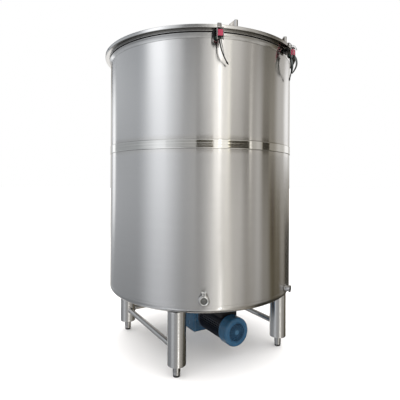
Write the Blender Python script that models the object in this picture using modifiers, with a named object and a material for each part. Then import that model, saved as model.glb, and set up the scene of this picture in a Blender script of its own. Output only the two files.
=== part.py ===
"""A stainless chocolate mixing tank on four legs, driven from below by a geared motor.

Run with: blender --background --python part.py
The scene then holds one closed solid for each piece of the tank, in metres, with +Z up.
The tank's axis is the Z axis, the floor is z = 0, and the motor points along -Y, the tank's front.
An angle round the tank counts from that front, positive towards +X.
"""
import math

import bmesh
import bpy
from mathutils import Matrix, Vector

# Driving dimensions of the vessel
SHELL_RADIUS = 0.600
SHELL_WALL = 0.005
RIM_TOP = 1.885
BOTTOM_Z = 0.366
KNUCKLE_RADIUS = 0.035
BOTTOM_WALL = 0.006
TOUCH_GAP = 0.0003

# Seam band round the middle, and the flange under the lid
BAND_LOW = 1.243
BAND_HEIGHT = 0.050
BAND_PROUD = 0.0025
COLLAR_LOW = 1.825
COLLAR_HEIGHT = 0.026
COLLAR_RADIUS = 0.609
GASKET_HEIGHT = 0.006
GASKET_RADIUS = 0.604

# Lid and the broad ring that closes its edge
LID_RING_RADIUS = 0.636
LID_RING_HEIGHT = 0.021
LID_LIP_RADIUS = 0.612
LID_LIP_HEIGHT = 0.007
LID_PLATE_THICKNESS = 0.004
LID_CROWN = 0.025

# Legs, feet and braces
LEG_CIRCLE_RADIUS = 0.529
LEG_RADIUS = 0.0515
LEG_WALL = 0.003
LEG_FOOT_Z = 0.065
FOOT_RADIUS = 0.0215
FOOT_PAD_HEIGHT = 0.009
FOOT_THREAD_RADIUS = 0.012
BRACE_RADIUS = 0.017
BRACE_Z = 0.146
LEG_ANGLES = {"front_left": -45, "front_right": 45, "back_right": 135, "back_left": -135}
BRACED_SIDES = (("front_left", "back_left"), ("back_left", "back_right"), ("back_right", "front_right"))

# Geared motor under the bottom
MOTOR_AXIS_Z = 0.179
GEAR_HALF_WIDTH = 0.093
GEAR_HALF_DEPTH = 0.090
GEAR_LOW = 0.077
GEAR_HIGH = 0.300
DRIVE_FLANGE_RADIUS = 0.110
DRIVE_FLANGE_HEIGHT = 0.016
LANTERN_RADIUS = 0.075
MOTOR_FLANGE_RADIUS = 0.080
MOTOR_FLANGE_LENGTH = 0.022
MOTOR_START = 0.1126
MOTOR_END = 0.360
END_SHIELD_LENGTH = 0.012
MOTOR_CORE_RADIUS = 0.066
FIN_HEIGHT = 0.012
FIN_COUNT = 36
FAN_COVER_START = 0.357
FAN_COVER_END = 0.429
FAN_COVER_RADIUS = 0.085
FAN_COVER_WALL = 0.004
FAN_COVER_EDGE = 0.012
TERMINAL_BOX_SIZE = (0.120, 0.110, 0.056)
TERMINAL_BOX_END = 0.351
TERMINAL_BOX_LOW = 0.246

# Outlets low on the shell
OUTLET_ANGLE = -29.45
OUTLET_Z = 0.449
OUTLET_PIPE_RADIUS = 0.0175
OUTLET_WALL = 0.0025
OUTLET_FERRULE_RADIUS = 0.0253
OUTLET_REACH = 0.030
SIDE_STUB_ANGLE = 28
SIDE_STUB_Z = 0.427
SIDE_STUB_RADIUS = 0.017
SIDE_STUB_REACH = 0.034

# Toggle clamps: out, along the rim and up from the outer top edge of the lid ring
CLAMP_ANGLES = {"left": -22.8, "right": 24.4}
LEVER_PIVOT = (0.002, -0.074)
LINK_PIVOT_ARM = 0.0197
LINK_PIVOT_ANGLE = 66
PIN_RADIUS = 0.004
LINK_PIN_RADIUS = 0.003
PIN_GAP = 0.0003
LEVER_EYE_WIDTH = 0.008
LEVER_SWEEP = 0.054
LEVER_DROP = 0.129
LEVER_BEND = 1.9
BLADE_THICKNESS = 0.005
ROD_RADIUS = 0.003
TIP_RADIUS = 0.0048
BRACKET_ENDS = (-0.0325, 0.013)
BRACKET_HEIGHTS = (-0.031, -0.058)
BRACKET_PLATE = 0.005
HOOK_BAR_FRONT = 0.005
HOOK_BAR_DEPTH = 0.008
HOOK_BAR_WIDTH = 0.0085
HOOK_BAR_CURL = 0.0160
KNOB_RADIUS = 0.0090
BLOCK_SIZE = (0.018, 0.028, 0.038)
BLOCK_OUT = 0.021
BLOCK_MIDDLE = -0.049
HOOK_WIDTH = 0.024
LINK_PLATE = 0.004

# Lugs on top of the lid ring
LUG_ANGLES = {"left": -15.5, "right": 20.4}
LUG_RADIUS = 0.618
LUG_HEIGHT = 0.039
LUG_POST_RADIUS = 0.0105
LUG_POST_SHIFT = 0.0155

ROUND_STEPS = 80
TUBE_STEPS = 28
FAN_STEPS = 40
SMALL_STEPS = 16
ROUNDING_STEPS = 1
COLLECTION = "chocolate_mixing_tank"


def clear_scene():
    """Take every object of the start scene away."""
    for obj in list(bpy.data.objects):
        bpy.data.objects.remove(obj, do_unlink=True)


def make_collection(name):
    collection = bpy.data.collections.new(name)
    bpy.context.scene.collection.children.link(collection)
    return collection


def make_material(name, colour, roughness, metallic):
    material = bpy.data.materials.new(name)
    material.use_nodes = True
    shader = material.node_tree.nodes["Principled BSDF"]
    shader.inputs["Base Color"].default_value = (*colour, 1.0)
    shader.inputs["Roughness"].default_value = roughness
    shader.inputs["Metallic"].default_value = metallic
    material.diffuse_color = (*colour, 1.0)
    return material


clear_scene()
TANK = make_collection(COLLECTION)

BRUSHED = make_material("brushed_stainless", (0.55, 0.54, 0.52), 0.32, 1.0)
POLISHED = make_material("polished_stainless", (0.70, 0.70, 0.69), 0.12, 1.0)
SEAL = make_material("black_seal", (0.02, 0.02, 0.02), 0.60, 0.0)
RUBBER = make_material("black_rubber", (0.02, 0.02, 0.02), 0.75, 0.0)
BLUE = make_material("blue_enamel", (0.045, 0.115, 0.205), 0.38, 0.0)
DARK_BLUE = make_material("dark_blue_enamel", (0.010, 0.014, 0.030), 0.45, 0.0)
BLACK_PLASTIC = make_material("black_plastic", (0.015, 0.015, 0.017), 0.45, 0.0)
RED_PLASTIC = make_material("red_plastic", (0.62, 0.07, 0.13), 0.40, 0.0)
BLACK_STEEL = make_material("black_coated_steel", (0.020, 0.022, 0.022), 0.45, 0.2)


def rim_point(radius, degrees, z=0.0):
    """The point at this radius, angle from the front and height."""
    turn = math.radians(degrees)
    return Vector((radius * math.sin(turn), -radius * math.cos(turn), z))


def facing(degrees):
    """Rotation about Z that turns local +X outwards at this angle from the front."""
    return math.radians(degrees - 90.0)


def register(obj, name, material, smooth=35.0):
    """Name an object, give it its material and collection, and smooth its round faces."""
    obj.name = name
    obj.data.name = name
    for collection in list(obj.users_collection):
        collection.objects.unlink(obj)
    TANK.objects.link(obj)
    obj.data.materials.clear()
    obj.data.materials.append(material)
    obj.data.shade_smooth()
    obj.data.set_sharp_from_angle(angle=math.radians(smooth))
    return obj


def arc(centre, radius, start, end, steps):
    """Points of an arc in a flat outline, angles in degrees."""
    points = []
    for step in range(steps + 1):
        angle = math.radians(start + (end - start) * step / steps)
        points.append((centre[0] + radius * math.cos(angle), centre[1] + radius * math.sin(angle)))
    return points


def turned(name, outline, material, closed=True, steps=ROUND_STEPS):
    """A turned piece: an outline in the XZ plane, down its outer side first, swept about Z."""
    mesh = bpy.data.meshes.new(name)
    edges = [(i, i + 1) for i in range(len(outline) - 1)]
    if closed:
        edges.append((len(outline) - 1, 0))
    mesh.from_pydata([(x, 0.0, z) for x, z in outline], edges, [])
    obj = bpy.data.objects.new(name, mesh)
    TANK.objects.link(obj)
    screw = obj.modifiers.new("Sweep", "SCREW")
    screw.axis = "Z"
    screw.steps = steps
    screw.render_steps = steps
    screw.use_merge_vertices = True
    screw.merge_threshold = 0.00005
    screw.use_smooth_shade = True
    bake(obj)
    return register(obj, name, material)


def bake(obj):
    """Replace an object's mesh by the mesh that its modifiers make."""
    bpy.context.view_layer.update()
    depsgraph = bpy.context.evaluated_depsgraph_get()
    mesh = bpy.data.meshes.new_from_object(obj.evaluated_get(depsgraph))
    obj.modifiers.clear()
    if obj.type == "MESH":
        obj.data = mesh
        return obj
    solid = bpy.data.objects.new(obj.name, mesh)
    solid.matrix_world = obj.matrix_world.copy()
    bpy.context.scene.collection.objects.link(solid)
    bpy.data.objects.remove(obj, do_unlink=True)
    return solid


def weld(obj):
    """Join the doubled points of a mesh and turn its faces outwards."""
    work = bmesh.new()
    work.from_mesh(obj.data)
    bmesh.ops.remove_doubles(work, verts=work.verts, dist=0.00001)
    bmesh.ops.recalc_face_normals(work, faces=work.faces)
    work.to_mesh(obj.data)
    work.free()
    return obj


def box(size, centre, bevel=0.0):
    """A loose box mesh object, its edges rounded where bevel is given."""
    bpy.ops.mesh.primitive_cube_add(size=1.0)
    obj = bpy.context.object
    obj.data.transform(Matrix.Translation(centre) @ Matrix.Diagonal((*size, 1.0)))
    if bevel > 0.0:
        rounding = obj.modifiers.new("Rounding", "BEVEL")
        rounding.width = bevel
        rounding.segments = ROUNDING_STEPS
        bake(obj)
    return obj


def cylinder(radius, length, centre=(0.0, 0.0, 0.0), axis="Z", steps=TUBE_STEPS, bevel=0.0):
    """A loose cylinder mesh object about the given axis, its rims rounded where bevel is given."""
    bpy.ops.mesh.primitive_cylinder_add(vertices=steps, radius=radius, depth=length)
    obj = bpy.context.object
    turn = {"X": Matrix.Rotation(math.pi / 2, 4, "Y"), "Y": Matrix.Rotation(math.pi / 2, 4, "X")}
    obj.data.transform(Matrix.Translation(centre) @ turn.get(axis, Matrix.Identity(4)))
    if bevel > 0.0:
        rounding = obj.modifiers.new("Rounding", "BEVEL")
        rounding.width = bevel
        rounding.segments = ROUNDING_STEPS
        bake(obj)
    return obj


def plate(outline, thickness, middle=0.0):
    """A flat plate: its outline lies in local XZ and its thickness runs along local Y."""
    curve = bpy.data.curves.new("outline", "CURVE")
    curve.dimensions = "2D"
    curve.fill_mode = "BOTH"
    curve.extrude = thickness / 2
    spline = curve.splines.new("POLY")
    spline.points.add(len(outline) - 1)
    for point, (x, z) in zip(spline.points, outline):
        point.co = (x, z, 0.0, 1.0)
    spline.use_cyclic_u = True
    obj = bpy.data.objects.new("plate", curve)
    bpy.context.scene.collection.objects.link(obj)
    solid = weld(bake(obj))
    stand_up = Matrix.Rotation(math.pi / 2, 4, "X")
    solid.data.transform(Matrix.Translation((0.0, middle, 0.0)) @ stand_up)
    return solid


def combine(base, others, operation):
    """Join the other objects to the base, or cut them out of it, and remove them."""
    for other in others:
        joined = base.modifiers.new("Boolean", "BOOLEAN")
        joined.operation = operation
        joined.solver = "EXACT"
        joined.object = other
        bake(base)
        bpy.data.objects.remove(other, do_unlink=True)
    return weld(base)


def place(obj, name, material, location, degrees=90.0):
    """Register an object and put it at its place, with local +X turned outwards at the angle."""
    register(obj, name, material)
    obj.location = location
    obj.rotation_euler = (0.0, 0.0, facing(degrees))
    return obj


def build_vessel():
    """The bottom head, both shell courses, the seam band and the flange with its seal."""
    inner = SHELL_RADIUS - SHELL_WALL
    knuckle = (SHELL_RADIUS - KNUCKLE_RADIUS, BOTTOM_Z + KNUCKLE_RADIUS)
    head_top = BOTTOM_Z + KNUCKLE_RADIUS + 0.010
    outside = [(SHELL_RADIUS, head_top)] + arc(knuckle, KNUCKLE_RADIUS, 0, -90, 5)
    inside = arc(knuckle, KNUCKLE_RADIUS - BOTTOM_WALL, -90, 0, 5)
    outline = [(0.0, BOTTOM_Z + BOTTOM_WALL)] + inside + [(SHELL_RADIUS - BOTTOM_WALL, head_top)]
    outline += outside + [(0.0, BOTTOM_Z)]
    turned("bottom_head", outline, BRUSHED, closed=False)
    ring(name="shell_lower", low=head_top + TOUCH_GAP, high=BAND_LOW - TOUCH_GAP, outer=SHELL_RADIUS,
         inner=inner, material=BRUSHED)
    band_high = BAND_LOW + BAND_HEIGHT
    ring(name="seam_band", low=BAND_LOW, high=band_high, outer=SHELL_RADIUS + BAND_PROUD,
         inner=inner, material=POLISHED, bevel=0.0015)
    ring(name="shell_upper", low=band_high + TOUCH_GAP, high=COLLAR_LOW - TOUCH_GAP, outer=SHELL_RADIUS,
         inner=inner, material=BRUSHED)
    collar_high = COLLAR_LOW + COLLAR_HEIGHT
    ring(name="rim_collar", low=COLLAR_LOW, high=collar_high, outer=COLLAR_RADIUS,
         inner=inner, material=POLISHED, bevel=0.0015)
    ring(name="rim_seal", low=collar_high + TOUCH_GAP, high=collar_high + GASKET_HEIGHT,
         outer=GASKET_RADIUS, inner=inner, material=SEAL)


def ring(name, low, high, outer, inner, material, bevel=0.0):
    """A plain ring about the tank's axis, its outer edges cut off by the bevel."""
    outline = [(outer - bevel, high), (outer, high - bevel), (outer, low + bevel), (outer - bevel, low)]
    if bevel == 0.0:
        outline = [(outer, high), (outer, low)]
    return turned(name, outline + [(inner, low), (inner, high)], material)


def build_lid():
    """The lid's broad edge ring with its lip, and the plate that closes it."""
    low = RIM_TOP - LID_RING_HEIGHT
    lip_low = low - LID_LIP_HEIGHT
    edge = 0.002
    outline = [(LID_RING_RADIUS - edge, RIM_TOP), (LID_RING_RADIUS, RIM_TOP - edge),
               (LID_RING_RADIUS, low + edge), (LID_RING_RADIUS - edge, low), (LID_LIP_RADIUS, low),
               (LID_LIP_RADIUS, lip_low), (SHELL_RADIUS - SHELL_WALL, lip_low),
               (SHELL_RADIUS - SHELL_WALL, RIM_TOP)]
    turned("lid_ring", outline, POLISHED)
    plate_radius = SHELL_RADIUS - SHELL_WALL - TOUCH_GAP
    top = RIM_TOP - 0.002
    outline = [(0.0, top + LID_CROWN), (plate_radius, top), (plate_radius, top - LID_PLATE_THICKNESS)]
    outline += [(0.0, top + LID_CROWN - LID_PLATE_THICKNESS)]
    turned("lid_plate", outline, BRUSHED, closed=False)


def build_legs():
    """Four tube legs with their screw feet, and the braces on three sides."""
    leg_top = BOTTOM_Z - TOUCH_GAP
    length = leg_top - LEG_FOOT_Z
    for side, angle in LEG_ANGLES.items():
        tube = cylinder(LEG_RADIUS, length, (0.0, 0.0, LEG_FOOT_Z + length / 2), bevel=0.002)
        bore = cylinder(LEG_RADIUS - LEG_WALL, length, (0.0, 0.0, LEG_FOOT_Z + 0.010 + length / 2))
        thread = cylinder(FOOT_THREAD_RADIUS + TOUCH_GAP, 0.05, (0.0, 0.0, LEG_FOOT_Z), steps=SMALL_STEPS)
        combine(tube, [bore, thread], "DIFFERENCE")
        place(tube, "leg_" + side, BRUSHED, rim_point(LEG_CIRCLE_RADIUS, angle))
        barrel_low = FOOT_PAD_HEIGHT + TOUCH_GAP
        barrel_high = LEG_FOOT_Z - TOUCH_GAP
        foot = cylinder(FOOT_RADIUS, barrel_high - barrel_low, (0.0, 0.0, (barrel_low + barrel_high) / 2),
                        bevel=0.001)
        stem = cylinder(FOOT_THREAD_RADIUS, 0.030, (0.0, 0.0, barrel_high + 0.009), steps=SMALL_STEPS)
        combine(foot, [stem], "UNION")
        place(foot, "foot_" + side, POLISHED, rim_point(LEG_CIRCLE_RADIUS, angle))
        pad = cylinder(FOOT_RADIUS - 0.002, FOOT_PAD_HEIGHT, (0.0, 0.0, FOOT_PAD_HEIGHT / 2),
                       bevel=0.002)
        place(pad, "foot_pad_" + side, RUBBER, rim_point(LEG_CIRCLE_RADIUS, angle))
    for first, second in BRACED_SIDES:
        start = rim_point(LEG_CIRCLE_RADIUS, LEG_ANGLES[first], BRACE_Z)
        end = rim_point(LEG_CIRCLE_RADIUS, LEG_ANGLES[second], BRACE_Z)
        span = (end - start).length
        brace = cylinder(BRACE_RADIUS, span, axis="X")
        for shift in (-span / 2, span / 2):
            saddle = cylinder(LEG_RADIUS + TOUCH_GAP, 0.2, (shift, 0.0, 0.0))
            combine(brace, [saddle], "DIFFERENCE")
        register(brace, "brace_" + first + "_" + second, BRUSHED)
        brace.location = (start + end) / 2
        brace.rotation_euler = (0.0, 0.0, math.atan2(end.y - start.y, end.x - start.x))


def build_drive():
    """The flange and lantern under the bottom, the gear housing and the motor that points forwards."""
    flange_top = BOTTOM_Z - TOUCH_GAP
    flange_low = flange_top - DRIVE_FLANGE_HEIGHT
    flange_middle = flange_top - DRIVE_FLANGE_HEIGHT / 2
    flange = cylinder(DRIVE_FLANGE_RADIUS, DRIVE_FLANGE_HEIGHT, (0.0, 0.0, flange_middle), bevel=0.001)
    neck_length = flange_low - GEAR_HIGH - TOUCH_GAP + 0.004
    neck = cylinder(LANTERN_RADIUS, neck_length, (0.0, 0.0, flange_low + 0.004 - neck_length / 2))
    combine(flange, [neck], "UNION")
    place(flange, "drive_flange", BRUSHED, (0.0, 0.0, 0.0))

    size = (2 * GEAR_HALF_WIDTH, 2 * GEAR_HALF_DEPTH, GEAR_HIGH - GEAR_LOW)
    housing = box(size, (0.0, 0.0, (GEAR_LOW + GEAR_HIGH) / 2), bevel=0.012)
    register(housing, "gear_housing", BLUE)

    start = GEAR_HALF_DEPTH + TOUCH_GAP
    centre = start + MOTOR_FLANGE_LENGTH / 2
    flange = cylinder(MOTOR_FLANGE_RADIUS, MOTOR_FLANGE_LENGTH, (0.0, -centre, MOTOR_AXIS_Z), axis="Y",
                      bevel=0.002)
    register(flange, "motor_flange", BLUE)
    build_motor()


def build_motor():
    """The finned motor, its fan cover and its terminal box."""
    outline = []
    for fin in range(FIN_COUNT):
        middle = 360.0 * fin / FIN_COUNT
        half_tip = 0.16 * 360.0 / FIN_COUNT
        half_root = 0.24 * 360.0 / FIN_COUNT
        corners = ((MOTOR_CORE_RADIUS, -half_root), (MOTOR_CORE_RADIUS + FIN_HEIGHT, -half_tip),
                   (MOTOR_CORE_RADIUS + FIN_HEIGHT, half_tip), (MOTOR_CORE_RADIUS, half_root))
        for radius, offset in corners:
            angle = math.radians(middle + offset)
            outline.append((radius * math.cos(angle), radius * math.sin(angle)))
    length = MOTOR_END - MOTOR_START
    motor = plate(outline, length, -(MOTOR_START + MOTOR_END) / 2)
    motor.data.transform(Matrix.Translation((0.0, 0.0, MOTOR_AXIS_Z)))
    seat = box((TERMINAL_BOX_SIZE[0] + 0.004, TERMINAL_BOX_SIZE[1] + 0.004, TERMINAL_BOX_SIZE[2]),
               (0.0, -(TERMINAL_BOX_END - TERMINAL_BOX_SIZE[1] / 2),
                TERMINAL_BOX_LOW - TOUCH_GAP + TERMINAL_BOX_SIZE[2] / 2))
    combine(motor, [seat], "DIFFERENCE")
    register(motor, "motor_body", DARK_BLUE)

    shield_middle = MOTOR_END + TOUCH_GAP + END_SHIELD_LENGTH / 2
    shield = cylinder(FAN_COVER_RADIUS - FAN_COVER_WALL - TOUCH_GAP, END_SHIELD_LENGTH,
                      (0.0, -shield_middle, MOTOR_AXIS_Z), axis="Y", steps=FAN_STEPS)
    register(shield, "motor_end_shield", BLUE)

    outer = FAN_COVER_RADIUS
    depth = FAN_COVER_END - FAN_COVER_START
    edge = FAN_COVER_EDGE
    wall = FAN_COVER_WALL
    outline = [(0.0, depth), (outer - edge, depth)]
    outline += arc((outer - edge, depth - edge), edge, 90, 0, 4)[1:]
    outline += [(outer, 0.0), (outer - wall, 0.0), (outer - wall, depth - edge)]
    outline += arc((outer - edge, depth - edge), edge - wall, 0, 90, 4)[1:]
    outline += [(0.0, depth - wall)]
    cover = turned("fan_cover", outline, BLUE, closed=False, steps=FAN_STEPS)
    cover.rotation_euler = (math.pi / 2, 0.0, 0.0)
    cover.location = (0.0, -FAN_COVER_START, MOTOR_AXIS_Z)

    box_centre = (0.0, -(TERMINAL_BOX_END - TERMINAL_BOX_SIZE[1] / 2),
                  TERMINAL_BOX_LOW + TERMINAL_BOX_SIZE[2] / 2)
    terminal = box(TERMINAL_BOX_SIZE, box_centre, bevel=0.004)
    register(terminal, "terminal_box", BLACK_PLASTIC)


def seat_on_shell(obj, degrees):
    """Cut a piece that stands on the shell at this angle back to just outside the shell's faces."""
    shell = cylinder(SHELL_RADIUS + TOUCH_GAP, 0.2, steps=ROUND_STEPS)
    turn = Matrix.Rotation(-facing(degrees), 4, "Z")
    shell.data.transform(Matrix.Translation((-SHELL_RADIUS, 0.0, 0.0)) @ turn)
    return combine(obj, [shell], "DIFFERENCE")


def pipe_stub(radius, wall, reach, lip_radius, lip_length, degrees):
    """A short pipe that stands out from the shell, with a thicker lip at its end."""
    root = 0.004
    pipe_end = reach - 0.001
    pipe = cylinder(radius, pipe_end + root, ((pipe_end - root) / 2, 0.0, 0.0), axis="X")
    lip = cylinder(lip_radius, lip_length, (reach - lip_length / 2, 0.0, 0.0), axis="X")
    combine(pipe, [lip], "UNION")
    bore = cylinder(radius - wall, 2 * reach, (reach, 0.0, 0.0), axis="X")
    bore.data.transform(Matrix.Translation((-root - 0.01, 0.0, 0.0)))
    combine(pipe, [bore], "DIFFERENCE")
    return seat_on_shell(pipe, degrees)


def build_outlets():
    """The clamped outlet at the front left and the short stub at the front right."""
    outlet = rim_point(SHELL_RADIUS, OUTLET_ANGLE, OUTLET_Z)
    pipe = pipe_stub(OUTLET_PIPE_RADIUS, OUTLET_WALL, OUTLET_REACH, OUTLET_FERRULE_RADIUS, 0.003,
                     OUTLET_ANGLE)
    place(pipe, "outlet_ferrule", POLISHED, outlet, OUTLET_ANGLE)

    cap_start = OUTLET_REACH + 0.0012
    cap = cylinder(OUTLET_FERRULE_RADIUS, 0.004, (cap_start + 0.002, 0.0, 0.0), axis="X", bevel=0.0008)
    place(cap, "outlet_cap", POLISHED, outlet, OUTLET_ANGLE)

    clamp_inner = OUTLET_FERRULE_RADIUS + TOUCH_GAP
    clamp_outer = clamp_inner + 0.0052
    middle = OUTLET_REACH + 0.0006
    band = cylinder(clamp_outer, 0.016, (middle, 0.0, 0.0), axis="X")
    ears_top = clamp_outer + 0.0105
    ears = box((0.014, 0.018, 0.020), (middle, 0.0, ears_top - 0.010), bevel=0.002)
    combine(band, [ears], "UNION")
    hole = cylinder(clamp_inner, 0.03, (middle, 0.0, 0.0), axis="X")
    combine(band, [hole], "DIFFERENCE")
    place(band, "outlet_clamp", BRUSHED, outlet, OUTLET_ANGLE)

    nut_low = ears_top + TOUCH_GAP
    nut = cylinder(0.006, 0.008, (middle, 0.0, nut_low + 0.004), steps=SMALL_STEPS, bevel=0.001)
    wings = box((0.004, 0.026, 0.005), (middle, 0.0, nut_low + 0.005), bevel=0.0015)
    combine(nut, [wings], "UNION")
    place(nut, "outlet_wing_nut", POLISHED, outlet, OUTLET_ANGLE)

    side = rim_point(SHELL_RADIUS, SIDE_STUB_ANGLE, SIDE_STUB_Z)
    stub = pipe_stub(SIDE_STUB_RADIUS, 0.003, SIDE_STUB_REACH, SIDE_STUB_RADIUS + 0.004, 0.006,
                     SIDE_STUB_ANGLE)
    place(stub, "side_stub", POLISHED, side, SIDE_STUB_ANGLE)


def lever_route():
    """The lever's rod from its pivot down to its tip, as (outwards, sideways, up) about the pivot."""
    outwards = [0.000, 0.001, 0.003, 0.006, 0.006, 0.003, -0.002, -0.009, -0.015, -0.021]
    drops = [0.000, 0.012, 0.026, 0.046, 0.066, 0.084, 0.098, 0.111, 0.120, LEVER_DROP]
    return [Vector((out, LEVER_SWEEP * (drop / LEVER_DROP) ** LEVER_BEND, -drop))
            for out, drop in zip(outwards, drops)]


def rod(route, radii, steps):
    """A solid rod along the points of the route, flat at both ends."""
    work = bmesh.new()
    rings = []
    for index, point in enumerate(route):
        ahead = route[min(index + 1, len(route) - 1)]
        behind = route[max(index - 1, 0)]
        tangent = (ahead - behind).normalized()
        across = tangent.cross(Vector((1.0, 0.0, 0.0))).normalized()
        other = tangent.cross(across)
        ring_points = []
        for step in range(steps):
            turn = 2 * math.pi * step / steps
            offset = across * math.cos(turn) + other * math.sin(turn)
            ring_points.append(work.verts.new(point + offset * radii[index]))
        rings.append(ring_points)
    for first, second in zip(rings, rings[1:]):
        for step in range(steps):
            after = (step + 1) % steps
            work.faces.new((first[step], first[after], second[after], second[step]))
    work.faces.new(rings[0])
    work.faces.new(rings[-1])
    bmesh.ops.recalc_face_normals(work, faces=work.faces)
    mesh = bpy.data.meshes.new("rod")
    work.to_mesh(mesh)
    work.free()
    obj = bpy.data.objects.new("rod", mesh)
    bpy.context.scene.collection.objects.link(obj)
    return obj


def build_clamps():
    """Two toggle clamps: a bracket on the collar, a lever, and a hooked link with its red block."""
    pivot = Vector((LEVER_PIVOT[0], 0.0, LEVER_PIVOT[1]))
    link_turn = math.radians(LINK_PIVOT_ANGLE)
    link_offset = Vector((LINK_PIVOT_ARM * math.sin(link_turn), 0.0, -LINK_PIVOT_ARM * math.cos(link_turn)))
    for side, angle in CLAMP_ANGLES.items():
        frame = bpy.data.objects.new("clamp_" + side + "_frame", None)
        frame.location = rim_point(LID_RING_RADIUS, angle, RIM_TOP)
        frame.rotation_euler = (0.0, 0.0, facing(angle))
        TANK.objects.link(frame)
        for piece, origin in ((build_bracket(pivot), Vector()), (build_lever(link_offset), pivot),
                              (build_link(pivot + link_offset), pivot + link_offset),
                              (build_block(pivot + link_offset), pivot + link_offset)):
            obj, name, material = piece
            register(obj, "clamp_" + side + "_" + name, material)
            obj.parent = frame
            obj.location = origin


def build_bracket(pivot):
    """The black bracket: a plate on the collar, a hook bar at its left end, and a knob with the pin."""
    back = COLLAR_RADIUS - LID_RING_RADIUS + TOUCH_GAP
    left, right = BRACKET_ENDS
    top, low = BRACKET_HEIGHTS
    base = box((BRACKET_PLATE, right - left, top - low),
               (back + BRACKET_PLATE / 2, (left + right) / 2, (top + low) / 2))
    step = 0.001
    front = HOOK_BAR_FRONT - step
    shelf = box((front - back - step, right - left - 2 * step, BRACKET_PLATE),
                ((front + back + step) / 2, (left + right) / 2, top - step - BRACKET_PLATE / 2))
    bar_left = left - step
    middle = bar_left + HOOK_BAR_CURL
    outline = [(bar_left, top + step)] + arc((middle, pivot.z), HOOK_BAR_CURL, 180, 310, 8)
    outline += arc((middle, pivot.z), HOOK_BAR_CURL - HOOK_BAR_WIDTH, 310, 180, 8)
    outline += [(bar_left + HOOK_BAR_WIDTH, top + step)]
    bar = plate(outline, HOOK_BAR_DEPTH)
    bar.data.transform(Matrix.Rotation(math.pi / 2, 4, "Z"))
    bar.data.transform(Matrix.Translation((HOOK_BAR_FRONT - HOOK_BAR_DEPTH / 2, 0.0, 0.0)))
    knob = ball(KNOB_RADIUS, (pivot.x, middle, pivot.z))
    pin_end = LEVER_EYE_WIDTH / 2
    pin = cylinder(PIN_RADIUS, pin_end - middle, (pivot.x, (middle + pin_end) / 2, pivot.z), axis="Y",
                   steps=SMALL_STEPS)
    combine(base, [shelf, bar, knob, pin], "UNION")
    return base, "bracket", BLACK_STEEL


def ball(radius, centre):
    """A solid ball."""
    work = bmesh.new()
    bmesh.ops.create_uvsphere(work, u_segments=SMALL_STEPS, v_segments=SMALL_STEPS // 2, radius=radius)
    bmesh.ops.translate(work, verts=work.verts, vec=centre)
    mesh = bpy.data.meshes.new("ball")
    work.to_mesh(mesh)
    work.free()
    obj = bpy.data.objects.new("ball", mesh)
    bpy.context.scene.collection.objects.link(obj)
    return obj


def build_lever(link_offset):
    """The lever about its pivot: an eye, a curved blade, the rod with its tip, and the link's pin."""
    blade = plate([(-0.004, 0.004), (0.004, 0.006), (0.016, -0.002), (0.025, -0.004), (0.034, -0.012),
                   (0.041, -0.024), (0.044, -0.038), (0.043, -0.054), (0.037, -0.070), (0.026, -0.084),
                   (0.012, -0.093), (0.002, -0.098), (0.001, -0.088), (0.005, -0.066), (0.005, -0.046),
                   (0.002, -0.026), (-0.001, -0.012)], BLADE_THICKNESS)
    for vertex in blade.data.vertices:
        vertex.co.y += LEVER_SWEEP * (max(-vertex.co.z, 0.0) / LEVER_DROP) ** LEVER_BEND
    route = lever_route()
    radii = [ROD_RADIUS] * (len(route) - 2) + [TIP_RADIUS] * 2
    stem = rod(route, radii, 8)
    eye = cylinder(0.008, LEVER_EYE_WIDTH, axis="Y", steps=SMALL_STEPS)
    link_pin = cylinder(LINK_PIN_RADIUS, 0.040, link_offset, axis="Y", steps=SMALL_STEPS)
    combine(blade, [stem, eye, link_pin], "UNION")
    hole = cylinder(PIN_RADIUS + PIN_GAP, 0.030, axis="Y", steps=SMALL_STEPS)
    combine(blade, [hole], "DIFFERENCE")
    return blade, "lever", BLACK_STEEL


def build_link(origin):
    """The link: two side arms with eyes, a yoke and the hook that lies on the lid ring."""
    inner = BLOCK_SIZE[1] / 2 + TOUCH_GAP
    arm_middle = inner + LINK_PLATE / 2
    yoke_low = BLOCK_MIDDLE + BLOCK_SIZE[2] / 2 + TOUCH_GAP
    yoke_high = yoke_low + 0.005
    arm_top = yoke_high - 0.001
    arm = [(BLOCK_OUT + 0.007, arm_top), (BLOCK_OUT - 0.007, arm_top)]
    arm += arc((origin.x, origin.z), 0.007, 180, 360, 10)
    arms = [plate(arm, LINK_PLATE, shift) for shift in (-arm_middle, arm_middle)]
    yoke_size = (0.012, 2 * (inner + LINK_PLATE) - 0.001, yoke_high - yoke_low)
    yoke = box(yoke_size, (BLOCK_OUT, 0.0, (yoke_low + yoke_high) / 2))
    outer = BLOCK_OUT + 0.001
    hook = [(outer - 0.006, yoke_low + 0.001), (outer, yoke_low + 0.001), (outer, 0.002)]
    hook += arc((outer - 0.006, 0.002), 0.006, 0, 90, 5)[1:]
    hook += [(-0.018, 0.008), (-0.018, TOUCH_GAP), (outer - 0.006, TOUCH_GAP)]
    link = plate(hook, HOOK_WIDTH)
    combine(link, [yoke] + arms, "UNION")
    holes = cylinder(LINK_PIN_RADIUS + PIN_GAP, 0.1, origin, axis="Y", steps=SMALL_STEPS)
    combine(link, [holes], "DIFFERENCE")
    link.data.transform(Matrix.Translation(-origin))
    return link, "link", POLISHED


def build_block(origin):
    """The red block between the link's arms."""
    block = box(BLOCK_SIZE, Vector((BLOCK_OUT, 0.0, BLOCK_MIDDLE)) - origin, bevel=0.003)
    return block, "grip", RED_PLASTIC


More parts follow.
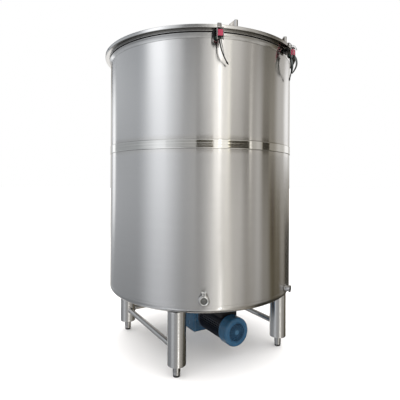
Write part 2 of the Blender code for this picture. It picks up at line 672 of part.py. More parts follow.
def build_lugs():
    """The two lugs on the lid ring: a round post with a sloping gusset on its left."""
    seat = RIM_TOP + TOUCH_GAP
    for side, angle in LUG_ANGLES.items():
        post = cylinder(LUG_POST_RADIUS, LUG_HEIGHT, (LUG_POST_SHIFT, 0.0, LUG_HEIGHT / 2), bevel=0.003)
        gusset = plate([(-0.026, 0.0), (LUG_POST_SHIFT, 0.0), (LUG_POST_SHIFT, LUG_HEIGHT - 0.004),
                        (0.004, LUG_HEIGHT - 0.004), (-0.026, 0.016)], 0.006)
        gusset.data.transform(Matrix.Translation((0.0, 0.0, 0.0005)))
        combine(post, [gusset], "UNION")
        post.data.transform(Matrix.Rotation(math.pi / 2, 4, "Z"))
        place(post, "lid_lug_" + side, POLISHED, rim_point(LUG_RADIUS, angle, seat), angle)


build_vessel()
build_lid()
build_legs()
build_drive()
build_outlets()
build_clamps()
build_lugs()
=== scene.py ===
# %% [markdown]
# # A chocolate mixing tank
# The real object is an upright stainless tank for about 1000 litres, on four tube legs. A blue geared
# motor drives its agitator from below, and two toggle clamps hold the lid's broad ring down. Its plain
# solids come ready made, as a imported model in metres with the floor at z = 0 and the motor pointing along
# -Y. This lesson puts fine surfaces in their place, so the model is loaded before anything else.

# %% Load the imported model
import math

import bmesh
import bpy
import numpy as np
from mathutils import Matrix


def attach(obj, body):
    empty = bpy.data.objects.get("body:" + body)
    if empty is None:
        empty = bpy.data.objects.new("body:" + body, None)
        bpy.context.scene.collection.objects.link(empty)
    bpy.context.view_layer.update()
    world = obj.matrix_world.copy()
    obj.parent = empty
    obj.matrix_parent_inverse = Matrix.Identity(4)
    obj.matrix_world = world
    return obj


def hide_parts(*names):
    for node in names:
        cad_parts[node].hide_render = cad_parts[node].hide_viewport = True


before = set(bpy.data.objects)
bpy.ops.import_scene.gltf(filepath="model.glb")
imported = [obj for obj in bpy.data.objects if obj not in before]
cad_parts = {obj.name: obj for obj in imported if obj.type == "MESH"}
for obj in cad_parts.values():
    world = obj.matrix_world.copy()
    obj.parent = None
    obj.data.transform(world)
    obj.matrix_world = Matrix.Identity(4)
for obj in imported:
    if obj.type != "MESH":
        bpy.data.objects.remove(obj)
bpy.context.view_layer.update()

# %% [markdown]
# The camera stands at chest height, two and a half metres from the tank's middle and 31 degrees round to
# the left of the motor. It looks all but level, and its frame is shifted a little, because a tilted camera
# would make the tank's upright sides lean.

# %% Camera
CAMERA_TURN = math.radians(31.08)
CAMERA_PITCH = math.radians(0.17)
CAMERA_ROLL = math.radians(0.30)
EYE = (-1.3180, -2.1345, 1.0652)

camera_data = bpy.data.cameras.new("camera")
camera_data.sensor_width = 36
camera_data.lens = 32.67
camera_data.shift_x = 0.0105
camera_data.shift_y = -0.0476
camera = bpy.data.objects.new("camera", camera_data)
camera.location = EYE
camera.rotation_euler = (math.pi / 2 + CAMERA_PITCH, -CAMERA_ROLL, -CAMERA_TURN)
scene = bpy.context.scene
scene.collection.objects.link(camera)
scene.camera = camera
scene.view_settings.view_transform = "Standard"
print("camera at", EYE, "with a lens of", round(camera_data.lens, 2), "mm")

# %% [markdown]
# Steel, enamel and light are written as sums over a place on the surface, which Blender keeps as nodes.
# Nodes placed by hand hide the sum, so one small class gives a socket the usual operators, each of which
# adds a Math node. One method adds any other node.

# %% Sums made of nodes
class Wire:
    """A socket that takes part in sums: every operator adds its Math node."""

    def __init__(self, graph, socket):
        self.graph = graph
        self.socket = socket

    def __abs__(self):
        return self.graph.math("ABSOLUTE", self)

    def __neg__(self):
        return self * -1


def operator(operation, reflected):
    """The method behind one sign, or its reflected form for a number that stands first."""
    def work(wire, other):
        return wire.graph.math(operation, *((other, wire) if reflected else (wire, other)))
    return work


for sign, operation in (("add", "ADD"), ("sub", "SUBTRACT"), ("mul", "MULTIPLY")):
    setattr(Wire, "__" + sign + "__", operator(operation, False))
    setattr(Wire, "__r" + sign + "__", operator(operation, True))


class Graph:
    """A node tree that is written as calls and sums."""

    def __init__(self, tree):
        self.tree = tree
        tree.nodes.clear()

    def add(self, kind, inputs=None, settings=None, output=0):
        """Add a node, set its settings, then set or link its sockets, and give one of its outputs."""
        node = self.tree.nodes.new("ShaderNode" + kind)
        for name, value in (settings or {}).items():
            setattr(node, name, value)
        for name, value in (inputs or {}).items():
            if isinstance(value, Wire):
                self.tree.links.new(value.socket, node.inputs[name])
            else:
                node.inputs[name].default_value = value
        return Wire(self, node.outputs[output]) if len(node.outputs) else node

    def math(self, operation, first, second=0):
        return self.add("Math", {0: first, 1: second}, {"operation": operation})

    def vector(self, operation, first, second, socket=1):
        return self.add("VectorMath", {0: first, socket: second}, {"operation": operation})

    def scaled(self, colour, amount):
        return self.vector("SCALE", colour, amount, "Scale")

    def step(self, value, low, high):
        """A soft step: 0 where the value is at low or beyond it, 1 at high, smooth between them."""
        inputs = {"Value": value, 1: low, 2: high, 3: 0, 4: 1}
        return self.add("MapRange", inputs, {"interpolation_type": "SMOOTHSTEP"})

    def mix(self, share, first, second):
        """A colour between two others, each a wire or red, green and blue, at this share of the second."""
        first, second = (c if isinstance(c, Wire) else (*c, 1) for c in (first, second))
        settings = {"data_type": "RGBA", "clamp_factor": True}
        return self.add("Mix", {0: share, 6: first, 7: second}, settings, output=2)

    def split(self, vector):
        """The three parts of a vector as separate wires."""
        node = self.add("SeparateXYZ", {0: vector}).socket.node
        return [Wire(self, socket) for socket in node.outputs]

    def joined(self, x, y, z):
        return self.add("CombineXYZ", {0: x, 1: y, 2: z})


print("sums are ready")

# %% [markdown]
# Stainless steel has almost no colour of its own: it shows the room. So the room is a plain studio with
# soft upright boxes of light round the tank and dark gaps between them. A sky picture would give such
# streaks too, but not at chosen places. Angles count from the camera's own direction, positive to the
# right. Dull surfaces get an even white dome, and the camera sees plain white.

# %% Studio light
WHITE = (1, 1, 1)
COOL = (0.975, 0.99, 1.035)
WARM = (1.03, 1.00, 0.93)
YELLOW = (1, 0.97, 0.80)
DOME_LOW = 1.60
DOME_HIGH = 2.00
DOME_GREEN = 0.985
DOME_BLUE = 0.975
ROOM_LIGHT = 0.63
ROOM_LEFT = (0.965, 1, 1.045)
ROOM_RIGHT = (1.03, 1, 0.955)
ROOM_DARKEST = (0.05, 0.045, 0.035)
LEVEL_EDGE = 1.5
LOW_SHADE = 0.31
LOW_SHADE_LEFT = 0.23
UNDER_LIGHT = 0.45
UNDER_SHADE = 0.95
DEGREES = 180 / math.pi

# Each box: angle, half width and soft edge in degrees, strength, colour, lowest and highest elevation.
# A dark gap is a box of negative strength.
ALL_OVER = (-90, 90)
BOXES = (
    (-50, 3, 30, 0.5, COOL, *ALL_OVER), (-54, 4, 18, 0.12, COOL, 12, 30),
    (-136, 3, 5, 0.75, WHITE, -7, 16), (12, 3, 14, 0.34, WHITE, *ALL_OVER),
    (24, 3.5, 14, 0.39, WARM, *ALL_OVER), (23, 0.8, 2.2, 0.7, WHITE, 4, 90),
    (22.5, 1.2, 4, 0.35, WARM, -4, 1), (25.5, 0.9, 1.2, 4.3, WHITE, -44, -22),
    (31, 6, 5, 0.65, WARM, -52, -23), (54, 15, 8, 0.34, WARM, -50, -23),
    (34, 0.4, 1.2, 1.3, YELLOW, 6, 16), (38, 6, 8, 0.16, WARM, *ALL_OVER),
    (49, 1, 3, 0.35, WARM, -4, 1), (62, 0.5, 1.4, 0.8, WARM, 3, 13),
    (86, 12, 14, 0.13, WHITE, -46, -10), (136, 4, 9, 0.55, COOL, 3, 17),
    (196, 6, 7, 0.9, WHITE, -30, -8), (-54, 4, 14, 0.55, WHITE, 21, 45), (22, 4, 4, 0.38, WARM, 21, 45),
    (5.5, 8.5, 2.5, -1.2, COOL, 3.4, 8.4), (46.5, 12, 2.5, -1.2, COOL, 3.2, 8.2),
    (85.5, 4, 3, -0.8, COOL, 2.8, 7.8), (-22.5, 17.5, 3, -0.24, COOL, 3.2, 8.2),
    (-92, 30, 12, -0.2, COOL, 2.4, 7.8), (2, 2, 9, -0.08, WHITE, -90, 2),
    (62, 5, 7, -0.14, COOL, *ALL_OVER), (92, 8, 12, -0.3, COOL, *ALL_OVER),
    (104, 6, 10, -0.3, COOL, -90, 1), (140, 24, 12, -0.3, COOL, -90, 1),
    (17, 12, 10, -0.2, WHITE, -90, -4), (24.6, 1.1, 1.6, -0.45, WHITE, -20, -5),
    (-120, 44, 10, -0.34, WHITE, 22, 50), (-152, 14, 8, -0.4, WHITE, 13.5, 26),
    (118, 44, 10, -0.42, WHITE, 21, 50), (160, 22, 12, -0.58, WHITE, -45, -6),
    (100, 64, 9, -0.46, WHITE, -52, -22.5), (-85, 60, 14, -0.08, WHITE, -52, -22.5),
    (-2, 13, 14, -0.44, WHITE, 20, 50),
)

world = bpy.data.worlds.new("studio")
world.use_nodes = True
scene.world = world
world.cycles.sampling_method = "NONE"
room = Graph(world.node_tree)
across, along, height = room.split(room.add("TexCoord"))
turn = room.math("ARCTAN2", across, -along) + CAMERA_TURN
elevation = room.math("ARCSINE", height) * DEGREES


def seen_at(angle, half_width, soft, low, high):
    """How much of a box is in this direction: 1 within its half width, fading over its soft edge. The
    distance from its middle is the arc cosine of the cosine of the turn between them."""
    apart = room.math("ARCCOSINE", room.math("COSINE", turn - math.radians(angle))) * DEGREES
    inside = room.step(apart, half_width + soft, half_width)
    if low > -90:
        inside = inside * room.step(elevation, low - LEVEL_EDGE, low + LEVEL_EDGE)
    if high < 90:
        inside = inside * room.step(elevation, high + LEVEL_EDGE, high - LEVEL_EDGE)
    return inside


to_right = room.step(turn, -1, 0.7)
light = room.scaled(room.mix(to_right, ROOM_LEFT, ROOM_RIGHT), ROOM_LIGHT)
for angle, half_width, soft, strength, colour, low, high in BOXES:
    box = room.scaled(colour, strength * seen_at(angle, half_width, soft, low, high))
    light = room.vector("ADD", light, box)
light = room.vector("MAXIMUM", light, ROOM_DARKEST)
low_light = 1 - (LOW_SHADE + LOW_SHADE_LEFT * (1 - to_right)) * room.step(elevation, 10, -22)
low_light = low_light + UNDER_LIGHT * room.step(elevation, -45, -53)
low_light = low_light - UNDER_SHADE * room.step(elevation, -60, -76)
light = room.scaled(light, low_light)

rays = room.add("LightPath").socket.node
is_camera, is_glossy = (Wire(room, rays.outputs[name]) for name in ("Is Camera Ray", "Is Glossy Ray"))
overhead = DOME_LOW + (DOME_HIGH - DOME_LOW) * room.step(elevation, 22, 45)
dome = room.joined(overhead, DOME_GREEN * overhead, DOME_BLUE * overhead)
seen = room.mix(is_camera, room.mix(is_glossy, dome, light), WHITE)
background = room.add("Background", {"Color": seen, "Strength": 1})
room.add("OutputWorld", {"Surface": background})
print("studio with", len(BOXES), "light boxes and dark gaps")

# %% [markdown]
# The floor is a wide round sheet, so pale and dull that only the tank's own shadow shows on it. It
# doesn't show in the steel, because the studio already says what the steel sees low down.

# %% Floor
FLOOR_RADIUS = 60
FLOOR_CORNERS = 96


def even_turns(count):
    return np.arange(count) * (2 * math.pi / count)


def circle(radius, count=16):
    """Points evenly round a circle: radius times the cosine and the sine of equal turns."""
    turns = even_turns(count)
    return radius * np.column_stack((np.cos(turns), np.sin(turns)))


floor_points = np.column_stack((circle(FLOOR_RADIUS, FLOOR_CORNERS), np.zeros(FLOOR_CORNERS)))
floor_mesh = bpy.data.meshes.new("floor")
floor_mesh.from_pydata(floor_points.tolist(), [], [list(range(FLOOR_CORNERS))])
floor = bpy.data.objects.new("floor", floor_mesh)
scene.collection.objects.link(floor)
floor.visible_glossy = False
floor_material = bpy.data.materials.new("pale_floor")
floor_material.use_nodes = True
paint = Graph(floor_material.node_tree)
place_on_floor = paint.add("TexCoord", output="Object")
speckle = paint.add("TexNoise", {"Vector": place_on_floor, "Scale": 3, "Detail": 4})
pale = paint.mix(speckle, (0.930, 0.927, 0.925), (0.945, 0.943, 0.941))
dull = paint.add("BsdfDiffuse", {"Color": pale})
paint.add("OutputMaterial", {"Surface": dull})
floor_mesh.materials.append(floor_material)
print("floor", 2 * FLOOR_RADIUS, "m across")

# %% [markdown]
# Every new piece is worked out as whole arrays, in millimetres. A shape is its points and its faces, and
# three ways of making one cover the tank: a profile turned about an axis, a skin over closed rings, and a
# section carried along a path. Corners are eased first, because a real edge is never quite sharp and
# shows as a thin bright line.

# %% Shapes from arrays
X, Y, Z = np.eye(3)
FORWARDS, DOWN = (0, -1, 0), (0, 0, -1)
MM = 0.001


def unit(vectors):
    return vectors / (np.linalg.norm(vectors, axis=-1, keepdims=True) + 1e-12)


def block(low_x, low_y, high_x, high_y):
    return [(low_x, low_y), (high_x, low_y), (high_x, high_y), (low_x, high_y)]


def eased(outline, radius, steps=4, closed=True):
    """An outline with every corner P eased to the curve (1-s)(1-s)A + 2s(1-s)P + ssB, where A and B lie on
    its two sides. One more point beyond each of them keeps the flat sides flat."""
    outline = np.asarray(outline, float)
    kept = slice(None) if closed else slice(1, -1)
    corner, before, after = (np.roll(outline, shift, axis=0)[kept] for shift in (0, 1, -1))
    radius = np.broadcast_to(np.asarray(radius, float), (len(outline),))[kept, None]
    back, ahead = before - corner, after - corner
    back_length, ahead_length = (np.linalg.norm(way, axis=1, keepdims=True) for way in (back, ahead))
    reach = np.minimum(radius, 0.42 * np.minimum(back_length, ahead_length))
    back, ahead = back / back_length * reach, ahead / ahead_length * reach
    s = np.linspace(0, 1, steps + 1)[None, :, None]
    first, last = (corner + back)[:, None], (corner + ahead)[:, None]
    curve = (1 - s) ** 2 * first + 2 * s * (1 - s) * corner[:, None] + s ** 2 * last
    lead, tail = (corner + back * 1.15)[:, None], (corner + ahead * 1.15)[:, None]
    points = np.concatenate((lead, curve, tail), axis=1).reshape(-1, outline.shape[1])
    return points if closed else np.vstack((outline[:1], points, outline[-1:]))


def arc(centre, radius, start, end, steps):
    """Points of an arc: the centre plus the radius times the cosine and sine of even turns."""
    turns = np.radians(np.linspace(start, end, steps + 1))
    return np.column_stack((centre[0] + radius * np.cos(turns), centre[1] + radius * np.sin(turns)))


def net(rows, columns, close_rows=False):
    """The faces of a grid: point (i, j) joins (i, j+1), (i+1, j+1) and (i+1, j), round where closed."""
    i = np.arange(rows if close_rows else rows - 1)[:, None]
    j = np.arange(columns)[None, :]
    next_i, next_j = (i + 1) % rows, (j + 1) % columns
    corners = (i * columns + j, i * columns + next_j, next_i * columns + next_j, next_i * columns + j)
    return np.stack(np.broadcast_arrays(*corners), axis=-1).reshape(-1, 4).tolist()


def turned(profile, steps=256, closed=True, ripple=None):
    """A profile turned about Z: point (i, j) is at radius r(i) + ripple, turn t(j) and height z(i)."""
    profile = np.asarray(profile, float)
    turns = even_turns(steps)
    radius, height = (np.repeat(profile[:, k:k + 1], steps, axis=1) for k in (0, 1))
    if ripple is not None:
        radius = radius + ripple(radius, turns[None, :], height)
    points = np.stack((radius * np.cos(turns), radius * np.sin(turns), height), axis=-1)
    return points.reshape(-1, 3), net(len(profile), steps, close_rows=closed)


def lathed(outline, edges, steps=3, count=96, closed=False):
    """An outline with eased corners turned about Z: open ones run from the axis back to the axis."""
    return turned(eased(outline, edges, steps, closed), count, closed)


def skin(rings):
    """A skin over closed rings of points: a row of faces between each two, and flat ends."""
    rings = np.asarray(rings, float)
    rows, columns = rings.shape[:2]
    ends = [list(range(columns)), list(range((rows - 1) * columns, rows * columns))]
    return rings.reshape(-1, 3), net(rows, columns) + ends


def inset(outline, amount):
    """A closed outline moved inwards, each point along the mean of its two sides' normals."""
    side = np.roll(outline, -1, axis=0) - outline
    normal = unit(np.column_stack((-side[:, 1], side[:, 0])))
    mean = normal + np.roll(normal, 1, axis=0)
    mean /= np.maximum((mean ** 2).sum(axis=1, keepdims=True) / 2, 0.4)
    around = outline[:, 0] * np.roll(outline[:, 1], -1) - outline[:, 1] * np.roll(outline[:, 0], -1)
    return outline + mean * amount * np.sign(around.sum())


def stacked(outline, shrinks, levels):
    """A skin over copies of an outline, each moved inwards and set at its own level."""
    rows = zip(shrinks, levels)
    return skin([np.column_stack((inset(outline, s), np.full(len(outline), z))) for s, z in rows])


def slab(outline, low, high, edge=1, steps=3):
    """A plate with the outline in its first two axes: near each face the outline shrinks by
    edge (1 - sin t) while the height changes by edge (1 - cos t), which rounds the rim."""
    outline = np.asarray(outline, float)
    t = np.linspace(0, math.pi / 2, steps + 1)
    shrink, rise = edge * (1 - np.sin(t)), edge * (1 - np.cos(t))
    levels = np.concatenate((low + rise, high - rise[::-1]))
    shrinks = np.concatenate((shrink, shrink[::-1]))
    return stacked(outline, shrinks, levels)


def rounded_box(size, centre, corner=4, edge=2, steps=3):
    """A box whose outline has eased corners and whose faces meet in rounded rims."""
    x, y, z = size[0] / 2, size[1] / 2, size[2] / 2
    return moved(slab(eased(block(-x, -y, x, y), corner, steps), -z, z, edge, steps), centre)


def swept(path, section, up=Z, sizes=None):
    """A section carried along a path: its two axes are the path's direction crossed with up, and the
    direction across both."""
    path = np.asarray(path, float)
    along = unit(np.gradient(path, axis=0))
    side = unit(np.cross(along, np.asarray(up, float)))
    lift = np.cross(side, along)
    sizes = np.ones(len(path)) if sizes is None else np.asarray(sizes, float)
    flat = np.asarray(section, float)[None] * sizes[:, None, None]
    return skin(path[:, None] + flat[..., :1] * side[:, None] + flat[..., 1:] * lift[:, None])


def smooth_path(points, count):
    """A smooth curve through points: cubic in each span, with slopes taken from the neighbours."""
    points = np.asarray(points, float)
    slopes = np.gradient(points, axis=0)
    place = np.linspace(0, len(points) - 1, count)
    index = np.minimum(place.astype(int), len(points) - 2)
    t = (place - index)[:, None]
    a, b, slope_a, slope_b = points[index], points[index + 1], slopes[index], slopes[index + 1]
    rest = (2 * t ** 3 - 3 * t ** 2 + 1) * a + (3 * t ** 2 - 2 * t ** 3) * b
    return rest + (t ** 3 - 2 * t ** 2 + t) * slope_a + (t ** 3 - t ** 2) * slope_b


def moved(shape, offset):
    return shape[0] + np.asarray(offset, float), shape[1]


def laid(shape, first, second, third, origin=(0, 0, 0)):
    """A shape carried to new axes: origin + x first + y second + z third."""
    return shape[0] @ np.array([first, second, third], float) + np.asarray(origin, float), shape[1]


def rim_frame(radius, degrees, height):
    """Axes outwards, along the rim and up, at this radius, angle from the front and height."""
    turn = math.radians(degrees)
    out = (math.sin(turn), -math.cos(turn), 0)
    side = (math.cos(turn), math.sin(turn), 0)
    return out, side, Z, (radius * out[0], radius * out[1], height)


def pole(profile, steps=48, axis="Z", origin=(0, 0, 0)):
    """A small turned piece about a line along X, Y or Z through the origin given."""
    frames = {"X": (Y, Z, X), "Y": (Z, X, Y), "Z": (X, Y, Z)}
    return laid(turned(profile, steps, closed=False), *frames[axis], origin)


def drum(radius, low, high, edge=1, steps=3):
    """The profile of a drum with rounded rims."""
    return eased([(0, low), (radius, low), (radius, high), (0, high)], edge, steps, closed=False)


triangles = []


def piece(name, shapes, finish, *nodes, body="tank", sharp=38):
    """Join shapes into one object in metres, close its seams, and give it its finish and its body."""
    points, faces, offset = [], [], 0
    for shape_points, shape_faces in shapes:
        points.append(shape_points)
        faces += [[corner + offset for corner in face] for face in shape_faces]
        offset += len(shape_points)
    mesh = bpy.data.meshes.new(name)
    mesh.from_pydata((MM * np.concatenate(points)).tolist(), [], faces)
    work = bmesh.new()
    work.from_mesh(mesh)
    bmesh.ops.remove_doubles(work, verts=work.verts, dist=1e-6)
    bmesh.ops.recalc_face_normals(work, faces=work.faces)
    work.to_mesh(mesh)
    work.free()
    mesh.shade_smooth()
    mesh.set_sharp_from_angle(angle=math.radians(sharp))
    obj = bpy.data.objects.new(name, mesh)
    scene.collection.objects.link(obj)
    material, slot = finish
    mesh.materials.append(material)
    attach(obj, body)
    if nodes:
        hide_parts(*nodes)
    triangles.append(sum(len(face.vertices) - 2 for face in mesh.polygons))
    print(name, "has", triangles[-1], "triangles")


print("shapes are ready")

# %% [markdown]
# The walls are rolled stainless sheet, brushed round and round, which turns the light boxes into upright
# streaks. Bump alone would need scratches far finer than a pixel, so the blur is the shader's own
# anisotropy, turned upright by a quarter turn. Noise adds fine level lines and faint clouds, and a zone
# beside the ground seam is smoother and slightly straw-coloured.

# %% Brushed steel
QUARTER_TURN = 0.25
SEAM_MIDDLE = 1.268
STRAW = (0.640, 0.622, 0.590)


def new_finish(name):
    """A material with an empty graph, and the place on the object as a wire."""
    material = bpy.data.materials.new(name)
    material.use_nodes = True
    graph = Graph(material.node_tree)
    return material, graph, graph.add("TexCoord", output="Object")


def end_finish(graph, colour, rough, normal, settings):
    """Put the shader with these links and constants on the material's output."""
    inputs = {"Base Color": colour, "Roughness": rough, "Normal": normal, **settings}
    shader = graph.add("BsdfPrincipled", inputs)
    graph.add("OutputMaterial", {"Surface": shader})


def noise(graph, place, scale, detail=3, rough=0.55):
    inputs = {"Vector": place, "Scale": scale, "Detail": detail, "Roughness": rough}
    return graph.add("TexNoise", inputs)


def bump(graph, height, distance, strength=1):
    return graph.add("Bump", {"Height": height, "Distance": distance, "Strength": strength})


def brushed_steel(name, roughness=0.20, seam_zone=False):
    """Steel brushed in level circles: its lines are noise squeezed along the height."""
    material, graph, place = new_finish(name)
    x, y, z = graph.split(place)
    lines = noise(graph, graph.joined(x * 6, y * 6, z * 900), 1, 4, 0.7)
    passes = noise(graph, graph.joined(x * 1.6, y * 1.6, z * 38), 1, 2)
    clouds = noise(graph, place, 2.4, 3)
    tone = 0.45 * lines + 0.30 * passes + 0.25 * clouds
    colour = graph.mix(tone, (0.640, 0.632, 0.622), (0.740, 0.733, 0.724))
    rough = roughness + 0.07 * (lines - 0.5) + 0.04 * (clouds - 0.5) + 0.03 * (passes - 0.5)
    if seam_zone:
        near = graph.step(abs(z - SEAM_MIDDLE), 0.058, 0.030)
        colour = graph.mix(0.5 * near, colour, STRAW)
        rough = rough - 0.07 * near
    end_finish(graph, colour, rough, bump(graph, lines, 0.00004),
               {"Metallic": 1, "Anisotropic": 0.97, "Anisotropic Rotation": QUARTER_TURN})
    return material, "brushed_stainless"


SHELL_STEEL = brushed_steel("brushed_steel_shell", seam_zone=True)
LEG_STEEL = brushed_steel("brushed_steel_legs", roughness=0.17)
print("brushed steel is ready")

# %% [markdown]
# The band, the ring and the small fittings are polished. A perfect mirror looks like glass, so a little
# roughness stays, with rubbing marks: level on the ring and the flange, and every way elsewhere.

# %% Polished steel
PLAIN_TINT = (0.70, 0.695, 0.685)
# The tint of the painted shade on the lid ring's flat underside
PAINTED_SHADE_TINT = (0.26, 0.25, 0.23)


def polished_steel(name, roughness, tint=PLAIN_TINT, slot="polished_stainless", level=False, painted_shade_zone=None):
    """Steel polished nearly to a mirror: faint marks change its roughness and its brightness."""
    material, graph, place = new_finish(name)
    x, y, z = graph.split(place)
    marks = noise(graph, graph.joined(x * 9, y * 9, z * (700 if level else 9)), 1, 4, 0.75)
    fine = noise(graph, place, 180, 2)
    tone = 0.6 * marks + 0.4 * fine
    colour = graph.mix(tone, tuple(part * 0.88 for part in tint), tint)
    # Painted shade: between the zone's two heights the colour turns to the dark tint, fading out towards the
    # back, in place of the shade under the ring
    if painted_shade_zone:
        low, high = painted_shade_zone
        dull = graph.step(z, low, low + 0.0005) * graph.step(z, high, high - 0.0010)
        colour = graph.mix(dull * graph.step(y, 0.06, -0.12), colour, PAINTED_SHADE_TINT)
    rough = roughness + 0.08 * (marks - 0.5) + 0.04 * (fine - 0.5)
    brushing = {"Anisotropic": 0.5, "Anisotropic Rotation": QUARTER_TURN} if level else {}
    end_finish(graph, colour, rough, bump(graph, tone, 0.00003), {"Metallic": 1, **brushing})
    return material, slot


BAND_STEEL = polished_steel("polished_steel_band", 0.08, (0.78, 0.77, 0.74))
# The lid ring gets painted shade on its flat underside, between these two heights
RING_STEEL = polished_steel("polished_steel_ring_painted_shade", 0.17, level=True, painted_shade_zone=(1.8632, 1.8672))
COLLAR_STEEL = polished_steel("polished_steel_flange", 0.22, level=True)
# Painted shade: a darker tint than the plain steel, standing in for the shaded floor that the screw feet
# would mirror; the side stub shares it
SMALL_STEEL_PAINTED_SHADE = polished_steel("polished_steel_fittings_painted_shade", 0.14, (0.54, 0.53, 0.525))
HOOK_STEEL = polished_steel("polished_steel_hooks", 0.16, (0.42, 0.41, 0.40))
BRACE_STEEL = polished_steel("satin_steel_braces", 0.10, (0.66, 0.65, 0.64), "brushed_stainless")
# Painted shade: the cap and the ferrule pipe get a very dark tint in place of the shade in the outlet's
# recess
CAP_STEEL_PAINTED_SHADE = polished_steel("painted_shade_steel_outlet", 0.20, (0.26, 0.26, 0.25))
# Painted highlight: the cap's rim, the clamp's ears and the wing nut get a brighter tint than the other
# fittings, standing in for their highlights
OUTLET_STEEL_PAINTED_HIGHLIGHT = polished_steel("painted_highlight_steel_outlet", 0.22, (0.86, 0.86, 0.85))
FLANGE_STEEL = polished_steel("dull_steel_flange", 0.34, (0.34, 0.33, 0.32), "brushed_stainless")
LUG_STEEL = polished_steel("polished_steel_lugs", 0.08, (0.62, 0.61, 0.60))
BLADE_STEEL = polished_steel("satin_steel_levers", 0.30, (0.16, 0.17, 0.16), "black_coated_steel")
print("polished steel is ready")

# %% [markdown]
# The drive is painted mid-blue, and the finned motor and its end shield are a much darker, near-black
# blue. Enamel has a wavy skin like orange peel under a clear gloss, and is paler where dust lies. Rubber and
# plastic have a fine grain.

# %% Enamel, plastic and rubber
DUST = (0.14, 0.18, 0.22)


def enamel(name, dark, light, roughness, slot="blue_enamel"):
    """Paint: clouds mix its two tones, and a fine uneven skin bends its gloss."""
    material, graph, place = new_finish(name)
    clouds = noise(graph, place, 16, 4, 0.6)
    peel = noise(graph, place, 420, 2)
    dust = graph.step(noise(graph, place, 22, 3), 0.52, 0.80)
    colour = graph.mix(0.03 * dust, graph.mix(graph.step(clouds, 0.30, 0.72), dark, light), DUST)
    rough = roughness + 0.06 * (clouds - 0.5) + 0.05 * dust
    end_finish(graph, colour, rough, bump(graph, peel, 0.00003, 0.5),
               {"Specular IOR Level": 0.45, "Coat Weight": 0.10, "Coat Roughness": 0.10})
    return material, slot


def moulded(name, slot, dark, light, roughness, grain=900, depth=0.00006):
    """Moulded plastic or rubber: one colour with slight clouds and a fine matt grain."""
    material, graph, place = new_finish(name)
    clouds = noise(graph, place, 34, 3)
    grains = noise(graph, place, grain, 2)
    colour = graph.mix(graph.step(clouds, 0.25, 0.75), dark, light)
    rough = roughness + 0.10 * (clouds - 0.5) + 0.08 * (grains - 0.5)
    end_finish(graph, colour, rough, bump(graph, grains, depth, 0.7), {"Specular IOR Level": 0.30})
    return material, slot


BLUE = enamel("blue_enamel", (0.011, 0.056, 0.112), (0.015, 0.068, 0.132), 0.24)
NAVY = enamel("navy_enamel", (0.001, 0.004, 0.013), (0.002, 0.007, 0.020), 0.42, "dark_blue_enamel")
GRILLE_BLUE = enamel("grille_enamel", (0.010, 0.054, 0.112), (0.015, 0.070, 0.140), 0.32)
HUB_BLUE = enamel("hub_enamel", (0.026, 0.088, 0.155), (0.036, 0.110, 0.185), 0.30)
KNOB_GREEN = moulded("knob_plastic", "black_coated_steel", (0.002, 0.012, 0.008), (0.004, 0.022, 0.015),
                     0.34)
SEAL = moulded("seal_rubber", "black_seal", (0.008, 0.008, 0.008), (0.014, 0.014, 0.014), 0.62)
PAD = moulded("foot_rubber", "black_rubber", (0.014, 0.014, 0.014), (0.028, 0.028, 0.027), 0.74, 500)
BOX_BLACK = moulded("box_plastic", "black_plastic", (0.003, 0.003, 0.004), (0.006, 0.006, 0.008), 0.48)
GRIP_RED = moulded("grip_plastic", "red_plastic", (0.29, 0.027, 0.060), (0.36, 0.038, 0.078), 0.38)
BLACK_COAT = moulded("black_coating", "black_coated_steel", (0.002, 0.003, 0.003), (0.004, 0.006, 0.005),
                     0.42, 300, 0.00005)
print("paint, plastic and rubber are ready")

# %% [markdown]
# The tank's wall is two courses of sheet, above and below the seam. A bare cylinder would mirror the
# light boxes as ruled lines, so slow waves, at most 0.2 mm outwards and two thirds of a millimetre
# inwards, let the streaks wander. The sheet dips a little where the weld has pulled it in.

# %% Shell courses
SHELL_RADIUS = 600
SHELL_INNER = 595
HEAD_TOP = 411
SEAM_LOW = 1243
SEAM_HIGH = 1293
COLLAR_LOW = 1825
TOUCH_GAP = 0.3


def rolled(radius, turns, height):
    """A sum of three slow waves and a bell-shaped dip beside the seam. The inner face stays."""
    waves = 0.30 * np.sin(4 * turns + 0.0017 * height + 0.6) + 0.16 * np.sin(9 * turns - 0.0031 * height)
    waves = waves + 0.20 * np.sin(2 * turns + 0.0050 * height)
    dip = -0.45 * np.exp(-(np.minimum(abs(height - SEAM_LOW), abs(height - SEAM_HIGH)) / 14) ** 2)
    fade = np.clip((height - HEAD_TOP) / 100, 0, 1) * np.clip((COLLAR_LOW - height) / 60, 0, 1)
    outer = radius > (SHELL_RADIUS + SHELL_INNER) / 2
    return np.where(outer, np.minimum(waves, 0.2) * fade + dip, 0)


def course(low, high, rows):
    """The section of one course: its outer face in rows from the bottom up, then its inner face."""
    outer = np.column_stack((np.full(rows, SHELL_RADIUS), np.linspace(low + 0.6, high - 0.6, rows)))
    foot, head = [(SHELL_RADIUS - 0.8, low)], [(SHELL_RADIUS - 0.8, high)]
    return np.vstack((foot, outer, head, [(SHELL_INNER, high), (SHELL_INNER, low)]))


for name, low, high, rows in (("lower", HEAD_TOP, SEAM_LOW, 90), ("upper", SEAM_HIGH, COLLAR_LOW, 60)):
    section = course(low + TOUCH_GAP, high - TOUCH_GAP, rows)
    piece(name + "_shell_sheet", [turned(section, 288, ripple=rolled)], SHELL_STEEL, "shell_" + name)

# %% [markdown]
# The band between the courses is polished in three soft ridges between two narrow lips. Each ridge, a
# wave of one cosine, mirrors the room once, which gives the thin dark and light lines along the band.

